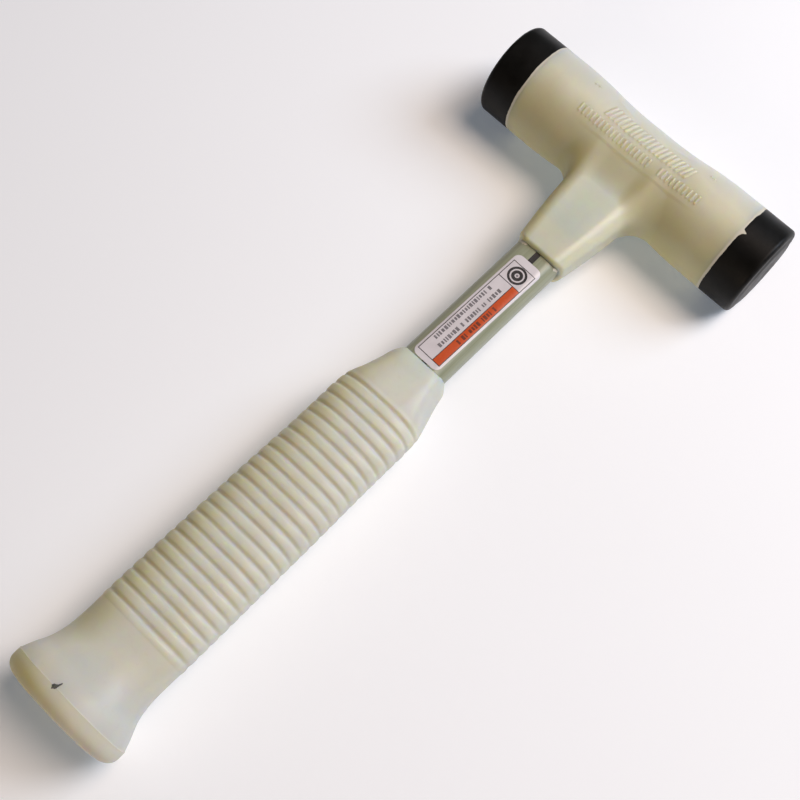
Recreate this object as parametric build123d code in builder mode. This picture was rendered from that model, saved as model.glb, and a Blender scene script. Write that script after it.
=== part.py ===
"""Soft-face shot-filled mallet with a fibreglass handle, lying flat on its side.

Millimetres. +X runs along the head from the left striking face to the right one, +Y points
from the butt to the head, and +Z is up. The mallet lies on a flat surface at z = 0: the barrel
and the flared butt touch it. The origin is under the middle of the overall box. Stations along
the handle are measured from the head's axis towards the butt.
"""

from build123d import *
import os

# Overall
overall_length = 311.5  # top of the barrel to the end of the butt
head_length = 130.0  # over both striking faces

# Barrel of the head casing
barrel_radius = 19.05  # 1.5 in striking faces, flush with the barrel's ends
waist_radius = 17.2
waist_half_land = 5.0  # half the straight stretch in the middle of the waist
waist_reach = 40.0  # where the waist has run out into the full barrel

# Striking faces
face_thickness = 15.1
face_rim_radius = 1.8
face_land_radius = 13.0  # flat middle of the striking face
face_crown = 0.7  # how far the land stands out beyond the rim
spigot_radius = 10.5
spigot_length = 3.0

# Shot canister and its end caps
canister_radius = 13.0
canister_wall = 1.2
canister_half_length = 43.0
cap_thickness = 1.5
cap_skirt = 4.5
cap_wall = 1.0

# Anchor studs that hold the striking faces
stud_radius = 4.0
stud_head_radius = 9.0
stud_head_thickness = 2.5
stud_head_depth = 6.5  # from the seam to the underside of the stud's head

# Loose steel shot
ball_radius = 3.0
ball_gap = 0.1
shot_layers = 10
shot_row_heights = (-7.6, -2.3, 3.0)  # rows of balls, from the canister's axis
shot_row_counts = (2, 3, 2)

# Fibreglass core
core_width = 19.05
core_thickness = 12.0
core_corner = 5.0
core_top = 15.0
core_end = 280.0
tracer_width = 2.3
tracer_depth = 0.5
tracer_offset = 0.4

# Steel socket, its weld, and the epoxy that holds the core in it
bond_gap = 0.4
socket_wall = 1.2
socket_end = 44.0
weld_leg = 2.0

# Neck of the head casing: station, width, thickness and corner radius of each section
neck_sections = (
    (8, 31.0, 20.0, 8.5),
    (20, 30.2, 19.6, 8.2),
    (30, 28.5, 19.0, 7.8),
    (44, 25.2, 17.7, 7.2),
    (52, 22.8, 16.7, 6.8),
    (61, 20.2, 15.4, 6.2),
)
neck_blend = 10.0  # radius where the neck flows into the barrel
neck_mouth_station = 56.2  # at the sides of the core
neck_mouth_radius = 13.0  # seen from the side, the mouth is an arc that is longer front and back

# Grip: each section is an ellipse, given by its station, half width and half thickness
shoulder_sections = ((118.7, 10.3, 7.5), (120.8, 12.0, 8.2), (140.0, 17.9, 10.9))
shoulder_mouth_radius = 17.0  # seen from the side, the top edge is an arc round the core
rib_zone_end = 255.0
rib_zone_half_width = 18.8
rib_zone_half_thickness = 11.6
flare_sections = ((263, 19.0, 12.0), (271, 19.5, 13.1), (277, 20.8, 15.2), (282, 22.8, 17.6))
flare_crease = 286.5
flare_half_width = 24.1
butt_corner_sections = ((289.6, 23.7, 18.2), (291.6, 21.7, 16.0))
butt_end_half_width = 18.0
butt_end_half_thickness = 13.0
groove_count = 24
groove_first = 142.4
groove_pitch = 4.76
groove_width = 1.9
groove_depth = 0.9

# Label on the front of the core
label_width = 12.4
label_length = 56.6
label_corner = 2.6
label_thickness = 0.15
label_station = 91.0  # middle of the label
label_offset = 0.5
label_turn = -1.0  # degrees, as it was stuck on

# Derived places
axis_height = barrel_radius
head_y = overall_length / 2 - barrel_radius
seam = head_length / 2 - face_thickness
cap_inner_face = canister_half_length - cap_skirt - cap_thickness
canister_bore = canister_radius - canister_wall
butt_station = overall_length - barrel_radius
handle_direction = (0, -1, 0)


def handle_plane(station):
    """Plane across the handle: local x is +X, local y is +Z, and it faces the butt."""
    return Plane(origin=(0, head_y - station, axis_height), x_dir=(1, 0, 0), z_dir=handle_direction)


head_plane = handle_plane(0)
side_plane = Plane(origin=(0, head_y, axis_height), x_dir=handle_direction, z_dir=(1, 0, 0))
head_axis = Axis((0, head_y, axis_height), (1, 0, 0))


def across_head(x):
    """Plane across the head at x, facing +X."""
    return Plane(origin=(x, head_y, axis_height), x_dir=(0, 1, 0), z_dir=(1, 0, 0))


def save(part, name):
    """Labels a finished piece and writes it as its own STEP file."""
    part.label = name
    export_step(part, f"parts/{name}.step")


def oval(section):
    """Elliptical outline across the handle, from (station, half width, half thickness)."""
    station, half_width, half_thickness = section
    with BuildSketch(handle_plane(station)) as outline:
        Ellipse(half_width, half_thickness)
    return outline.sketch


os.makedirs("parts", exist_ok=True)

# Steel canister: a plain tube through the middle of the head
with BuildPart() as shot_canister:
    with BuildSketch(across_head(-canister_half_length)):
        Circle(canister_radius)
        Circle(canister_bore, mode=Mode.SUBTRACT)
    extrude(amount=2 * canister_half_length)
save(shot_canister.part, "shot_canister")

# Pressed cap in the right end of the canister: a disc with a skirt that points outwards
with BuildPart() as canister_cap_right:
    with BuildSketch(across_head(cap_inner_face)):
        Circle(canister_bore)
    extrude(amount=cap_thickness + cap_skirt)
    with BuildSketch(across_head(cap_inner_face + cap_thickness)):
        Circle(canister_bore - cap_wall)
    extrude(amount=cap_skirt, mode=Mode.SUBTRACT)
save(canister_cap_right.part, "canister_cap_right")

# Anchor stud on the right cap: a shank with a broad head that the striking face grips
with BuildPart() as anchor_stud_right:
    with BuildSketch(head_plane):
        with BuildLine():
            shank_start = cap_inner_face + cap_thickness
            head_start = seam + stud_head_depth
            Polyline(
                (shank_start, 0),
                (shank_start, stud_radius),
                (head_start, stud_radius),
                (head_start, stud_head_radius),
                (head_start + stud_head_thickness, stud_head_radius),
                (head_start + stud_head_thickness, 0),
                close=True,
            )
        make_face()
    revolve(axis=head_axis)
save(anchor_stud_right.part, "anchor_stud_right")

# Right striking face: a thick black tip moulded round the stud's head, with a spigot
with BuildPart() as face_right:
    with BuildSketch(head_plane):
        with BuildLine():
            end = head_length / 2
            rim = end - face_crown
            Line((seam - spigot_length, 0), (seam - spigot_length, spigot_radius))
            Line((seam - spigot_length, spigot_radius), (seam, spigot_radius))
            Line((seam, spigot_radius), (seam, barrel_radius))
            Line((seam, barrel_radius), (rim - face_rim_radius, barrel_radius))
            RadiusArc(
                (rim - face_rim_radius, barrel_radius),
                (rim, barrel_radius - face_rim_radius),
                face_rim_radius,
            )
            Line((rim, barrel_radius - face_rim_radius), (end, face_land_radius))
            Line((end, face_land_radius), (end, 0))
            Line((end, 0), (seam - spigot_length, 0))
        make_face()
    revolve(axis=head_axis)
    add(anchor_stud_right.part, mode=Mode.SUBTRACT)
save(face_right.part, "face_right")

# The left cap, stud and face mirror the right ones
save(mirror(canister_cap_right.part, about=Plane.YZ), "canister_cap_left")
save(mirror(anchor_stud_right.part, about=Plane.YZ), "anchor_stud_left")
save(mirror(face_right.part, about=Plane.YZ), "face_left")

# Loose shot: layers of steel balls that slide together along the canister
with BuildPart() as shot_charge:
    pitch = 2 * ball_radius + ball_gap
    for layer in range(shot_layers):
        x = (layer - (shot_layers - 1) / 2) * pitch
        for height, count in zip(shot_row_heights, shot_row_counts):
            with Locations((x, head_y, axis_height + height)):
                with GridLocations(pitch, pitch, 1, count):
                    Sphere(ball_radius)
save(shot_charge.part, "shot_charge")

# Fibreglass core with a shallow channel for the dark tracer strip
with BuildPart() as handle_core:
    with BuildSketch(handle_plane(core_top)):
        RectangleRounded(core_width, core_thickness, core_corner)
        with Locations((tracer_offset, core_thickness / 2 - tracer_depth / 2)):
            Rectangle(tracer_width, tracer_depth, mode=Mode.SUBTRACT)
    extrude(amount=core_end - core_top)
save(handle_core.part, "handle_core")

# Dark tracer strip, flush with the front of the core
with BuildPart() as tracer_strip:
    with BuildSketch(handle_plane(core_top)):
        with Locations((tracer_offset, core_thickness / 2 - tracer_depth / 2)):
            Rectangle(tracer_width, tracer_depth)
    extrude(amount=core_end - core_top)
save(tracer_strip.part, "tracer_strip")

# Steel socket: a rounded tube whose mouth is cut to sit on the canister
socket_inner_width = core_width + 2 * bond_gap
socket_inner_thickness = core_thickness + 2 * bond_gap
socket_inner_corner = core_corner + bond_gap
socket_width = socket_inner_width + 2 * socket_wall
socket_thickness = socket_inner_thickness + 2 * socket_wall
socket_corner = socket_inner_corner + socket_wall
with BuildPart() as handle_socket:
    with BuildSketch(handle_plane(0)):
        RectangleRounded(socket_width, socket_thickness, socket_corner)
        RectangleRounded(
            socket_inner_width, socket_inner_thickness, socket_inner_corner, mode=Mode.SUBTRACT
        )
    extrude(amount=socket_end)
    with BuildSketch(across_head(-canister_half_length)):
        Circle(canister_radius)
    extrude(amount=2 * canister_half_length, mode=Mode.SUBTRACT)
save(handle_socket.part, "handle_socket")

# Weld bead round the socket's foot, lying on the canister
with BuildPart() as socket_weld:
    with BuildSketch(handle_plane(0)):
        RectangleRounded(
            socket_width + 2 * weld_leg, socket_thickness + 2 * weld_leg, socket_corner + weld_leg
        )
        RectangleRounded(socket_width, socket_thickness, socket_corner, mode=Mode.SUBTRACT)
    extrude(amount=socket_end)
    with BuildSketch(across_head(-canister_half_length)):
        Circle(canister_radius + weld_leg)
        Circle(canister_radius, mode=Mode.SUBTRACT)
    extrude(amount=2 * canister_half_length, mode=Mode.INTERSECT)
save(socket_weld.part, "socket_weld")

# Epoxy between the core and the socket, up to the canister's wall
with BuildPart() as core_bond:
    with BuildSketch(handle_plane(0)):
        RectangleRounded(socket_inner_width, socket_inner_thickness, socket_inner_corner)
    extrude(amount=socket_end)
    with BuildSketch(across_head(-canister_half_length)):
        Circle(canister_radius)
    extrude(amount=2 * canister_half_length, mode=Mode.SUBTRACT)
    with BuildSketch(handle_plane(core_top)):
        RectangleRounded(core_width, core_thickness, core_corner)
    extrude(amount=core_end - core_top, mode=Mode.SUBTRACT)
save(core_bond.part, "core_bond")

# Everything that the casing is moulded round, as one envelope
with BuildPart() as casing_core:
    with BuildSketch(across_head(-canister_half_length)):
        Circle(canister_radius)
    extrude(amount=2 * canister_half_length)
    with BuildSketch(across_head(-seam)):
        Circle(stud_radius)
    extrude(amount=2 * seam)
    for end_plane, depth in ((across_head(seam), -spigot_length), (across_head(-seam), spigot_length)):
        with BuildSketch(end_plane):
            Circle(spigot_radius)
        extrude(amount=depth)
    with BuildSketch(handle_plane(0)):
        RectangleRounded(socket_width, socket_thickness, socket_corner)
    extrude(amount=socket_end)
    with BuildSketch(handle_plane(core_top)):
        RectangleRounded(core_width, core_thickness, core_corner)
    extrude(amount=core_end - core_top)
    add(socket_weld.part)

# Head casing: a waisted barrel that flows into the neck, moulded round the steelwork
with BuildPart() as head_body:
    with BuildSketch(head_plane):
        with BuildLine():
            drop = barrel_radius - waist_radius
            run = waist_reach - waist_half_land
            waist_arc = (run**2 + drop**2) / (4 * drop)
            middle = ((waist_reach + waist_half_land) / 2, (barrel_radius + waist_radius) / 2)
            Line((0, waist_radius), (waist_half_land, waist_radius))
            RadiusArc((waist_half_land, waist_radius), middle, -waist_arc)
            RadiusArc(middle, (waist_reach, barrel_radius), waist_arc)
            Line((waist_reach, barrel_radius), (seam, barrel_radius))
            Line((seam, barrel_radius), (seam, 0))
            Line((seam, 0), (0, 0))
            Line((0, 0), (0, waist_radius))
        make_face()
        mirror(about=Plane.YZ)
    revolve(axis=head_axis)
    barrel_edges = head_body.edges()
    for station, width, thickness, corner in neck_sections:
        with BuildSketch(handle_plane(station)):
            RectangleRounded(width, thickness, corner)
    loft()
    neck_edges = head_body.edges() - barrel_edges
    fillet(neck_edges.filter_by_position(Axis.Y, head_y - 27, head_y - 9), neck_blend)
    with BuildSketch(side_plane):
        with Locations((neck_mouth_station + neck_mouth_radius, 0)):
            Circle(neck_mouth_radius)
    extrude(amount=barrel_radius, both=True, mode=Mode.SUBTRACT)
    add(casing_core.part, mode=Mode.SUBTRACT)
save(head_body.part, "head_body")

# Grip: a tapered shoulder, a ribbed oval and a flared butt, moulded round the core
with BuildPart() as grip:
    shoulder_end = shoulder_sections[-1]
    rib_end_section = (rib_zone_end, rib_zone_half_width, rib_zone_half_thickness)
    crease_section = (flare_crease, flare_half_width, axis_height)
    end_section = (butt_station, butt_end_half_width, butt_end_half_thickness)
    loft([oval(section) for section in shoulder_sections], ruled=True)
    loft([oval(shoulder_end), oval(rib_end_section)], ruled=True)
    loft([oval(section) for section in (rib_end_section, *flare_sections, crease_section)])
    loft(
        [oval(section) for section in (crease_section, *butt_corner_sections, end_section)],
        ruled=True,
    )
    for groove in range(groove_count):
        station = groove_first + groove * groove_pitch
        share = (station - shoulder_end[0]) / (rib_zone_end - shoulder_end[0])
        half_width = shoulder_end[1] + share * (rib_zone_half_width - shoulder_end[1])
        half_thickness = shoulder_end[2] + share * (rib_zone_half_thickness - shoulder_end[2])
        with BuildSketch(handle_plane(station - groove_width / 2)):
            Ellipse(half_width + groove_depth, half_thickness + groove_depth)
            Ellipse(half_width - groove_depth, half_thickness - groove_depth, mode=Mode.SUBTRACT)
        extrude(amount=groove_width, mode=Mode.SUBTRACT)
    with BuildSketch(side_plane):
        with Locations((shoulder_sections[0][0], 0)):
            Rectangle(shoulder_mouth_radius, 2 * barrel_radius)
        with Locations((shoulder_sections[0][0] + shoulder_mouth_radius, 0)):
            Circle(shoulder_mouth_radius, mode=Mode.SUBTRACT)
    extrude(amount=barrel_radius, both=True, mode=Mode.SUBTRACT)
    with BuildSketch(handle_plane(core_top)):
        RectangleRounded(core_width, core_thickness, core_corner)
    extrude(amount=core_end - core_top, mode=Mode.SUBTRACT)
save(grip.part, "grip")

# Label: a thin film on the front of the core that follows its rounded edges
with BuildPart() as label:
    label_plane = Plane(
        origin=(label_offset, head_y - label_station, axis_height), z_dir=(0, 0, 1)
    ).rotated((0, 0, label_turn))
    with BuildSketch(handle_plane(label_station - label_length)):
        RectangleRounded(
            core_width + 2 * label_thickness,
            core_thickness + 2 * label_thickness,
            core_corner + label_thickness,
        )
        RectangleRounded(core_width, core_thickness, core_corner, mode=Mode.SUBTRACT)
    extrude(amount=2 * label_length)
    with BuildSketch(label_plane):
        RectangleRounded(label_width, label_length, label_corner)
    extrude(amount=core_thickness, mode=Mode.INTERSECT)
save(label.part, "label")
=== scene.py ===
"""Looks of the soft-face mallet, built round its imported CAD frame.

Shapes are worked out in millimetres in the tool frame: x along the head to the right, y towards
the head, z up, with the origin where the handle's middle line crosses the head's axis. add_piece
turns them into metres in the row frame. A station is a distance from the head's axis to the butt.
"""

import math

import bmesh
import bpy
import numpy as np
from mathutils import Matrix, Vector


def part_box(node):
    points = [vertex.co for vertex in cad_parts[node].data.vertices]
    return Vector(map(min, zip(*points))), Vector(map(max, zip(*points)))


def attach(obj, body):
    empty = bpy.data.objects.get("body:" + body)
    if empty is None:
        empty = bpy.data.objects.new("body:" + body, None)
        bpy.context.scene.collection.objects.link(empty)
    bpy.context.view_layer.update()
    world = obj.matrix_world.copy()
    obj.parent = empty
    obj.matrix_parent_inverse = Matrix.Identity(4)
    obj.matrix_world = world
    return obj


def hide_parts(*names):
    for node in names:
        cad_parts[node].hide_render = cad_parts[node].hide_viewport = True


MM = 0.001

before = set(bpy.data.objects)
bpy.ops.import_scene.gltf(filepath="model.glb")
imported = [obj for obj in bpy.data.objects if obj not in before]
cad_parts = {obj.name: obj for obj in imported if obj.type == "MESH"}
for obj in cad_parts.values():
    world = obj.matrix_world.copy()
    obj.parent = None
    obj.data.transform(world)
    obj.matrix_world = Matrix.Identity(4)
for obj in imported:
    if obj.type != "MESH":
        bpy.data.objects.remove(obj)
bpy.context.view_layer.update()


def box_mm(node):
    """Lowest and highest corner of a CAD node, in millimetres in the row frame."""
    return [np.array(corner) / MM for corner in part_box(node)]


# ---- measures from the frame
tip_low, tip_high = box_mm("face_right")
casing_high = box_mm("head_body")[1]
core_low, core_high = box_mm("handle_core")
grip_low, grip_high = box_mm("grip")
canister_low, canister_high = box_mm("shot_canister")
socket_low, socket_high = box_mm("handle_socket")
label_low, label_high = box_mm("label")
tracer_low, tracer_high = box_mm("tracer_strip")

AXIS_Y = (tip_low[1] + tip_high[1]) / 2
AXIS_Z = (tip_low[2] + tip_high[2]) / 2
BARREL_R = (tip_high[2] - tip_low[2]) / 2
HEAD_HALF = tip_high[0]
SEAM = casing_high[0]
CANISTER_R = (canister_high[2] - canister_low[2]) / 2
CANISTER_HALF = canister_high[0]
SOCKET_HALF_W = socket_high[0]
SOCKET_HALF_T = (socket_high[2] - socket_low[2]) / 2
SOCKET_END = AXIS_Y - socket_low[1]
CORE_HALF_W = core_high[0]
CORE_HALF_T = (core_high[2] - core_low[2]) / 2
CORE_TOP = AXIS_Y - core_high[1]
CORE_END = AXIS_Y - core_low[1]
GRIP_TOP = AXIS_Y - grip_high[1]
BUTT = AXIS_Y - grip_low[1]
BUTT_HALF_W = grip_high[0]
TRACER_MIDDLE = (tracer_low[0] + tracer_high[0]) / 2
TRACER_HALF = (tracer_high[0] - tracer_low[0]) / 2
TRACER_DEPTH = tracer_high[2] - tracer_low[2]
LABEL_MIDDLE = (label_low[0] + label_high[0]) / 2
LABEL_STATION = AXIS_Y - (label_low[1] + label_high[1]) / 2

# ---- casing
WAIST_R = 17.2
WAIST_LAND = 5.0
WAIST_REACH = 40.0
NECK_STATIONS = (8, 20, 30, 44, 52, 61)
NECK_HALF_W = (15.5, 15.1, 14.25, 12.6, 11.4, 10.1)
NECK_HALF_T = (10.0, 9.8, 9.5, 8.85, 8.35, 7.7)
NECK_CORNER = (6.5, 6.3, 6.0, 5.5, 5.2, 4.8)
BLEND_SIDE = 10.0
BLEND_FRONT = 7.0
MOUTH_STATION = 56.2
MOUTH_R = 13.0
MOUTH_BEVEL = 1.7
CUT_MARGIN = 3.0
# Each flash: its span in x, its reach and the seed of its edge
MOUTH_FLASHES = (((-9.4, -5.2), 1.5, 41), ((8.0, 9.4), 1.5, 43))
NECK_BLOCK = (14.0, 9.4, 6.0)
BARREL_RINGS = 41
BARREL_AROUND = 96
POCKET_AROUND = 128
ROUGH_VOXEL = 0.9
FINE_VOXEL = 0.51
CORE_CORNER = 5.0
SOCKET_CORNER = 6.6
SPIGOT_R = 10.5
SPIGOT_LENGTH = 3.0
STUD_R = 4.0

# Raised panel and its plain pattern on the front of the barrel, seen straight from above
PANEL_MIDDLE = (1.8, 0.0)
PANEL_HALF = (33.5, 9.3)
PANEL_RISE = 0.24
PANEL_SOFT = 1.3
PANEL_END_FADE = 16.0
PANEL_TOP_FADE = 9.0
BAR_RISE = 0.45
BAR_SOFT = 0.45
UPPER_BARS = 10
UPPER_PITCH = 4.05
UPPER_MIDDLE = (1.8, 1.4)
UPPER_HALF = (0.6, 3.1)
UPPER_LEAN = 0.28
UPPER_SPLIT = 0.95
LOWER_GROUPS = ((-27.0, 18), (12.2, 10))
LOWER_PITCH = 1.98
LOWER_Y = -5.4
LOWER_HALF = (0.38, 1.75)
DOTS = ((-29.6, 6.6), (-27.9, 6.9), (27.4, 6.9), (29.0, 6.6))
DOT_HALF = (0.42, 0.42)
PATTERN_REACH = (40.0, 12.0)
RECESS_REACH = (38.0, 12.0)

# ---- striking tips
TIP_RIM = 1.8
TIP_LAND = 13.0
TIP_CROWN = 0.7
STUD_HEAD_R = 9.0
STUD_HEAD_START = 56.4
STUD_HEAD_END = 58.9
TIP_SEAM_ROUND = 0.25
TIP_AROUND = 192
# Each tongue of flash at the right seam: its place and width in degrees round the barrel, and its reach
SEAM_TONGUES = ((101, 1.7, 1.8), (104, 0.5, 3.0), (62, 0.3, 9))
FLASH_SUNK = 0.04

# ---- grip
SHOULDER = ((118.7, 10.3, 7.5), (120.8, 12.0, 8.2), (140.0, 17.9, 10.9))
SHOULDER_MOUTH_R = 17.0
RIB_ZONE_END = 255.0
RIB_HALF_W = 18.8
RIB_HALF_T = 11.6
FLARE = ((263, 18.8, 12.0), (270, 19.1, 13.2), (276, 20.4, 15.5), (281, 22.6, 18.0))
CREASE = 284.7
BUTT_CORNER = ((289.0, 23.9, 18.4), (291.5, 21.8, 16.0))
BUTT_END = (18.0, 13.0)
BUTT_POWER = 2.4
GROOVES = 24
GROOVE_FIRST = 142.15
GROOVE_PITCH = 4.76
GROOVE_REACH = 0.8
GROOVE_DEPTH = 0.76
GROOVE_SIDE_SHARE = 0.2
GROOVE_SIDE_FADE = 0.55
GROOVE_SAMPLES = (-1.45, -1.2, -1.0, -0.8, -0.55, -0.2, 0.2, 0.55, 0.8, 1.0, 1.2, 1.45)
RIB_PROUD = 0.22
DOME_STEPS = (0.03, 0.08, 0.16, 0.3, 0.45, 0.6, 0.8, 1, 1.2, 1.4, 1.6, 1.8, 2, 2.2, 2.4, 2.6, 2.8, 2.9, 3)
END_SHARES = (0.93, 0.75, 0.5, 0.25, 0.08)
AROUND = 160
GATE_PLACE = (-2.5, 284.8)
GATE_OUTLINE = (
    (0.9, 0.0), (0.7, 0.55), (0.25, 0.75), (-0.3, 1.3), (-0.6, 0.6), (-1.1, 0.2), (-0.7, -0.5),
    (-0.1, -0.8), (0.5, -1.3), (0.9, -2.3), (1.25, -2.2), (0.95, -1.1), (0.8, -0.4),
)
# The mark's rings from its edge in: share of its outline and rise over the butt
GATE_SHARES = (1.0, 0.9, 0.6, 0.05)
GATE_RISES = (0.02, 0.16, 0.10, 0.12)

# ---- label
LABEL_HALF_W = 6.2
LABEL_HALF_L = 28.3
LABEL_CORNER = 2.6
LABEL_THICK = 0.15
LABEL_TURN = math.radians(-1.0)
PRINT_RISE = 0.03
PRINT_THICK = 0.02
FRAME_HALF_W = 5.35
FRAME_START = -25.0
FRAME_END = 26.0
LINE = 0.3
DIVIDER = -16.5
BAND_INNER = 1.65
ROUNDEL_MIDDLE = (0.0, -20.8)
ROUNDEL_RINGS = ((2.85, 3.8), (0.95, 2.25))
# Each row of blocks: its name, middle, height, start, end and seed
TEXT_ROWS = (
    ("grey_text_near", -0.35, 1.75, -12.0, 20.6, 5),
    ("grey_text_far", -3.65, 1.65, -10.4, 19.2, 8),
)


def smooth(t):
    """Smooth step from 0 to 1."""
    t = np.clip(t, 0.0, 1.0)
    return t * t * (3 - 2 * t)


def smooth_interp(x, xs, ys):
    """Cubic curve through the points (xs, ys), level beyond its ends."""
    xs, ys = np.array(xs, float), np.array(ys, float)
    slopes = np.gradient(ys, xs)
    i = np.clip(np.searchsorted(xs, x) - 1, 0, len(xs) - 2)
    width = xs[i + 1] - xs[i]
    t = np.clip((x - xs[i]) / width, 0, 1)
    start = (1 + 2 * t) * (1 - t) ** 2 * ys[i] + t * (1 - t) ** 2 * width * slopes[i]
    end = t * t * (3 - 2 * t) * ys[i + 1] + t * t * (t - 1) * width * slopes[i + 1]
    return start + end


def ripple(*coords, seed):
    """Smooth wandering values between about -1 and 1, the same each run."""
    rng = np.random.default_rng(seed)
    total = 0
    for octave in range(5):
        turn = rng.normal(size=len(coords)) * (1 + 0.6 * octave)
        phase = rng.uniform(0, 2 * math.pi)
        total = total + np.sin(sum(t * c for t, c in zip(turn, coords)) + phase)
    return total / 3


# ---- mesh helpers
def to_row(points):
    """Millimetres in the tool frame to metres in the row frame."""
    return (np.asarray(points, float) + (0, AXIS_Y, AXIS_Z)) * MM


def add_piece(name, points, faces, coat, slot, sharp=38):
    """Makes a closed, smooth-shaded mesh piece that rides on the mallet."""
    mesh = bpy.data.meshes.new(name)
    mesh.from_pydata(to_row(points).tolist(), [], faces)
    return finish_piece(name, mesh, coat, sharp)


def add_object(name, data):
    obj = bpy.data.objects.new(name, data)
    bpy.context.scene.collection.objects.link(obj)
    return obj


def face_outward(work):
    bmesh.ops.recalc_face_normals(work, faces=work.faces)


def edit_mesh(mesh, change):
    """Opens the mesh for editing, runs change on it and writes it back."""
    work = bmesh.new()
    work.from_mesh(mesh)
    change(work)
    work.to_mesh(mesh)
    work.free()


def finish_piece(name, mesh, coat, sharp=38):
    """Shades a mesh smooth but for its sharp edges, and makes it a piece that rides on the mallet."""
    edit_mesh(mesh, face_outward)
    mesh.shade_smooth()
    mesh.set_sharp_from_angle(angle=math.radians(sharp))
    mesh.materials.append(coat)
    obj = add_object(name, mesh)
    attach(obj, "mallet")
    return obj


def add_values(obj, name, values):
    """Stores one number per vertex for the material to read."""
    attribute = obj.data.attributes.new(name, "FLOAT", "POINT")
    attribute.data.foreach_set("value", np.asarray(values, np.float32))


def merge(parts):
    """Points and faces of several (points, faces) parts as one."""
    points, faces = [], []
    for some_points, some_faces in parts:
        offset = sum(len(p) for p in points)
        points.append(some_points)
        faces += [tuple(offset + i for i in face) for face in some_faces]
    return np.concatenate(points), faces


def ring_at(station, x, z):
    """Ring of points across the handle. The station is one number, or one per point."""
    return np.column_stack([x, np.zeros(len(x)) - station, z])


def side_name(x):
    return "right" if x > 0 else "left"


def skin(rings, first, last):
    """Points and faces of a closed skin over rings of equal length, ending in two single points."""
    count, around = len(rings), len(rings[0])
    points = np.vstack([[first], np.concatenate(rings), [last]])
    faces = []
    for r in range(count - 1):
        a, b = 1 + r * around, 1 + (r + 1) * around
        faces += [(a + i, a + (i + 1) % around, b + (i + 1) % around, b + i) for i in range(around)]
    end = 1 + (count - 1) * around
    faces += [(0, 1 + (i + 1) % around, 1 + i) for i in range(around)]
    faces += [(len(points) - 1, end + i, end + (i + 1) % around) for i in range(around)]
    return points, faces


def thin_shell(top, bottom, goes_round=False):
    """Points and faces of a closed shell between two grids of the same shape (rows, columns, 3).

    The last column of a shell that goes round joins its first.
    """
    points = np.concatenate([top.reshape(-1, 3), bottom.reshape(-1, 3)])
    under = len(points) // 2
    at = np.arange(under).reshape(top.shape[:2])
    if goes_round:
        rims = (at[0], at[-1])
        at = np.column_stack([at, at[:, 0]])
    else:
        rims = (np.concatenate([at[0], at[1:, -1], at[-1, -2::-1], at[-2:0:-1, 0]]),)
    a, a_next = at[:-1, :-1].ravel(), at[:-1, 1:].ravel()
    b, b_next = at[1:, :-1].ravel(), at[1:, 1:].ravel()
    faces = [np.column_stack([a, a_next, b_next, b]), under + np.column_stack([a, b, b_next, a_next])]
    for rim in rims:
        after = np.roll(rim, -1)
        faces.append(np.column_stack([after, rim, under + rim, under + after]))
    return points, np.concatenate(faces).tolist()


def rounded_rect(half_w, half_h, corner, arc_steps, edge_steps):
    """Outline of a rounded rectangle as (n, 2) points, anticlockwise."""
    signs = np.array(((1, 1), (-1, 1), (-1, -1), (1, -1)))
    centres = signs * (half_w - corner, half_h - corner)
    points = []
    for quarter in range(4):
        turn = quarter * math.pi / 2
        centre, following = centres[quarter], centres[(quarter + 1) % 4]
        for step in range(arc_steps):
            angle = turn + step / arc_steps * math.pi / 2
            points.append(centre + corner * np.array((math.cos(angle), math.sin(angle))))
        reach = corner * np.array((math.cos(turn + math.pi / 2), math.sin(turn + math.pi / 2)))
        arc_end = centre + reach
        after = following + reach
        for step in range(edge_steps):
            points.append(arc_end + (after - arc_end) * step / edge_steps)
    return np.array(points)


# ---- material helpers
def new_material(name):
    """An empty node material and its node tree."""
    made = bpy.data.materials.new(name)
    made.use_nodes = True
    made.node_tree.nodes.clear()
    return made, made.node_tree


def node(tree, kind, inputs=None, **settings):
    """Adds a node. An input that is a socket is linked, and any other value is set."""
    made = tree.nodes.new(kind)
    for key, value in settings.items():
        setattr(made, key, value)
    for key, value in (inputs or {}).items():
        if isinstance(value, bpy.types.NodeSocket):
            tree.links.new(value, made.inputs[key])
        else:
            made.inputs[key].default_value = value
    return made


def rgba(colour):
    return (*colour, 1.0)


def object_coords(tree, stretch=(1, 1, 1)):
    coords = node(tree, "ShaderNodeTexCoord").outputs["Object"]
    return node(tree, "ShaderNodeMapping", {"Vector": coords, "Scale": stretch}).outputs["Vector"]


def noise_value(tree, vector, scale, detail=3.0, roughness=0.5):
    inputs = {"Vector": vector, "Scale": scale, "Detail": detail, "Roughness": roughness}
    return node(tree, "ShaderNodeTexNoise", inputs).outputs["Fac"]


def spread(tree, value, low, high, to_low=0.0, to_high=1.0):
    inputs = {"Value": value, "From Min": low, "From Max": high, "To Min": to_low, "To Max": to_high}
    return node(tree, "ShaderNodeMapRange", inputs).outputs["Result"]


def mottle(tree, place, noise, window, result=(0.0, 1.0)):
    """Noise of a scale, detail and roughness, its values in a window stretched to a result range."""
    return spread(tree, noise_value(tree, place, *noise), *window, *result)


def blend_colour(tree, share, first, second):
    inputs = {"Fac": share}
    for key, colour in (("Color1", first), ("Color2", second)):
        inputs[key] = colour if isinstance(colour, bpy.types.NodeSocket) else rgba(colour)
    return node(tree, "ShaderNodeMixRGB", inputs).outputs["Color"]


def product(tree, first, second):
    return node(tree, "ShaderNodeMath", {0: first, 1: second}, operation="MULTIPLY").outputs["Value"]


def bump(tree, height, distance, before=None):
    inputs = {"Height": height, "Distance": distance, "Strength": 1.0}
    if before is not None:
        inputs["Normal"] = before
    return node(tree, "ShaderNodeBump", inputs).outputs["Normal"]


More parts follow.
